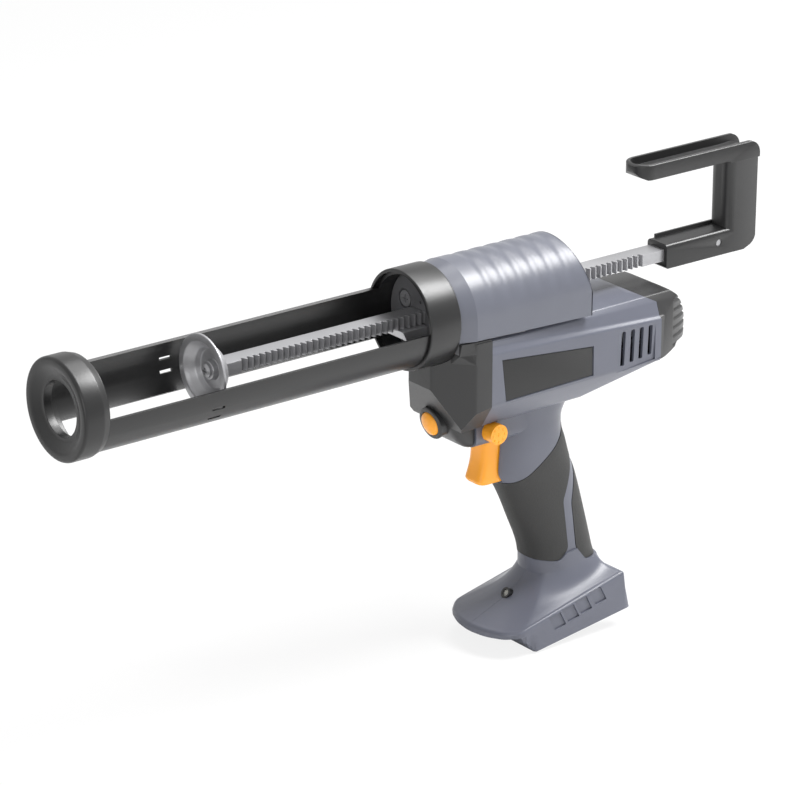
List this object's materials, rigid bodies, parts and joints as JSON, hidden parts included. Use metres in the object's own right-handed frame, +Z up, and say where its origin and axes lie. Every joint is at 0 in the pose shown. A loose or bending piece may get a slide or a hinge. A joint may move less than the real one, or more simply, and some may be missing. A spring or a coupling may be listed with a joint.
{
  "type": "cordless caulking tool",
  "caption": "Pistol-grip cordless caulking tool with an open half-tube cartridge holder, toothed pusher rod with a hook handle, sprung trigger, lock pin and a foot for a slide-on battery.",
  "frame": {"origin": "centre of the mouth of the nozzle hole in the front ring, on the barrel axis", "axes": "+X runs back along the barrel axis, +Z is up, -Y is the tool's left side"},
  "size_m": [0.4817, 0.061, 0.2683],
  "materials": {
    "black_metal": "satin black powder coat",
    "steel": "matt machined steel",
    "dark_steel": "blackened steel",
    "plated_steel": "plated steel",
    "magnet": "sintered magnet",
    "rotor": "laminated steel with varnished windings",
    "alloy": "die-cast alloy",
    "grey_alloy": "grey coated die-cast alloy",
    "bronze": "bronze",
    "black_plastic": "fine-textured black nylon",
    "dark_plastic": "fine-textured dark grey nylon",
    "shell_plastic": "satin blue-grey nylon",
    "tunnel_plastic": "satin light grey nylon",
    "panel": "smooth bare label panel",
    "rubber": "soft overmoulded grip",
    "orange_plastic": "orange acetal",
    "board": "circuit board",
    "lens": "clear lens"
  },
  "bodies": {
    "housing": {"nose_plate": "grey_alloy", "plate_screws": "dark_steel", "rack_guide": "alloy", "gear_frame": "alloy", "gear_lid": "alloy", "lid_screws": "steel", "shaft_bushes": "bronze", "gear_head": "alloy", "motor_can": "plated_steel", "motor_magnets": "magnet", "motor_bearings": "steel", "motor_end_bell": "black_plastic", "motor_brushes": "bronze", "gear_tunnel": "tunnel_plastic", "front_cover": "dark_plastic", "left_shell": "shell_plastic", "right_shell": "shell_plastic", "shell_screws": "steel", "rear_cap": "dark_plastic", "left_panel": "panel", "right_panel": "panel", "front_grip": "rubber", "rear_grip": "rubber", "trigger_spring": "steel", "trigger_switch": "black_plastic", "release_spring": "steel", "control_board": "board", "battery_block": "black_plastic", "battery_contacts": "bronze", "work_light": "lens", "light_bezel": "black_plastic"},
    "rod": {"rack_rod": "steel", "plunger_disc": "steel", "disc_screw": "steel", "hook_handle": "black_plastic", "hook_pin": "steel"},
    "pinion": {"pinion_shaft": "steel", "rack_pinion": "steel", "final_wheel": "steel", "shaft_clips": "steel"},
    "output_pinion": {"drive_pinion": "steel"},
    "armature": {"rotor": "rotor", "motor_fan": "black_plastic"},
    "holder": {"front_ring": "black_metal", "ring_screw": "steel", "holder_tube": "black_metal", "collar": "black_metal"},
    "trigger": {"trigger": "orange_plastic"},
    "lock_pin": {"lock_pin": "orange_plastic"},
    "release_button": {"release_button": "orange_plastic"}
  },
  "joints": [
    {"name": "rack_slide", "type": "slide", "parent": "housing", "child": "rod", "axis": [1, 0, 0], "range_m": [-0.062, 0.118]},
    {"name": "pinion_spin", "type": "hinge", "parent": "housing", "child": "pinion", "pos_m": [0.259, -0.01263, 0], "axis": [0, 0, 1], "continuous": true},
    {"name": "output_spin", "type": "hinge", "parent": "housing", "child": "output_pinion", "pos_m": [0.26764, 0, 0], "axis": [0, 0, 1], "continuous": true},
    {"name": "armature_spin", "type": "hinge", "parent": "housing", "child": "armature", "pos_m": [0.36, 0, -0.035], "axis": [1, 0, 0], "continuous": true},
    {"name": "holder_turn", "type": "hinge", "parent": "housing", "child": "holder", "pos_m": [0.24, 0, 0], "axis": [1, 0, 0], "continuous": true},
    {"name": "trigger_pull", "type": "slide", "parent": "housing", "child": "trigger", "axis": [1, 0, 0], "range_m": [0, 0.006], "stiffness_N_per_m": 900, "springref_m": -0.005, "deforming": ["trigger_spring"]},
    {"name": "lock_slide", "type": "slide", "parent": "housing", "child": "lock_pin", "axis": [0, 1, 0], "range_m": [0, 0.004]},
    {"name": "release_press", "type": "slide", "parent": "housing", "child": "release_button", "axis": [0.9781, 0, 0.2079], "range_m": [0, 0.004], "stiffness_N_per_m": 700, "springref_m": -0.004, "deforming": ["release_spring"]}
  ],
  "couplings": [
    {"joint": "pinion_spin", "follows": "rack_slide", "rad_per_m": -133.33},
    {"joint": "output_spin", "follows": "rack_slide", "rad_per_m": 200}
  ]
}
